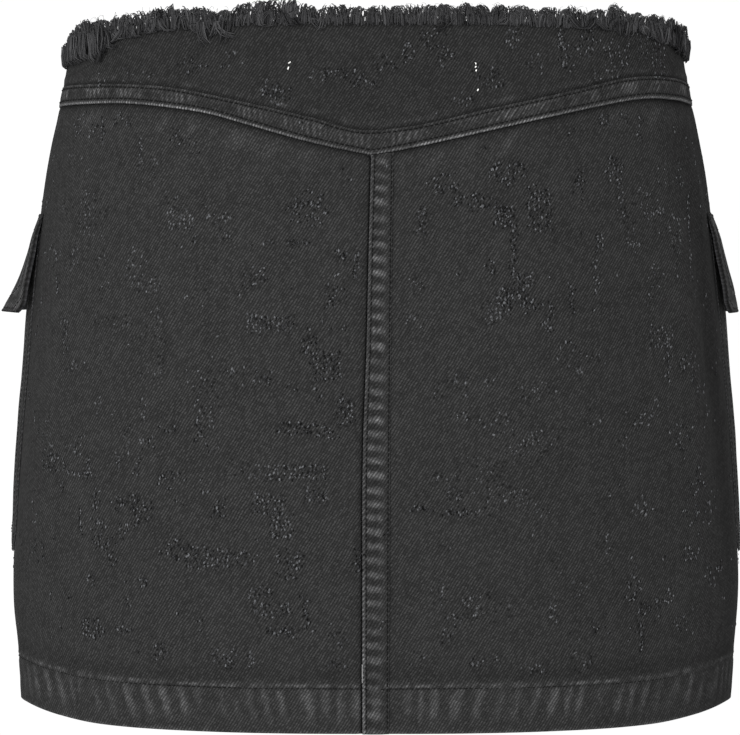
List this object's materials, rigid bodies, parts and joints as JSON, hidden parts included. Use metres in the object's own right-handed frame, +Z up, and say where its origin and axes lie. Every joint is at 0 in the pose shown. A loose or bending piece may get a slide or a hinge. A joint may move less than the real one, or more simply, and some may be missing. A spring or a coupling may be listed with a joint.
{
  "type": "denim skirt",
  "caption": "Worn denim mini skirt, hollow, with a V-shaped back yoke, frayed raw waist edge and flapped side pockets.",
  "frame": {"origin": "middle of the waist opening at the height of the side seams' upper ends, where the wearer holds the garment", "axes": "+Z up, the garment's back faces -Y, +X is the wearer's right"},
  "size_m": [0.3861, 0.2331, 0.3601],
  "materials": {
    "denim": "washed black right-hand twill denim, matt, with worn edges and nicked threads",
    "denim_inside": "back of the twill, matt and a little lighter",
    "yarn": "loose cotton yarn and sewing thread, matt and fuzzy",
    "button_metal": "dark gunmetal plating, satin"
  },
  "bodies": {
    "root": {"back_yoke": "denim", "yoke_fell": "denim", "back_panel_left": "denim", "back_panel_right": "denim", "centre_back_fell": "denim", "front_panel_left": "denim", "front_panel_right": "denim", "centre_front_fell": "denim", "fly_shield": "denim_inside", "waist_button": "button_metal", "hem_fold_back": "denim_inside", "hem_fold_front": "denim_inside", "pocket_left": "denim", "flap_left": "denim", "pocket_right": "denim", "flap_right": "denim", "fray_back": "yarn", "fray_front_right": "yarn", "fray_front_left": "yarn"}
  },
  "joints": []
}
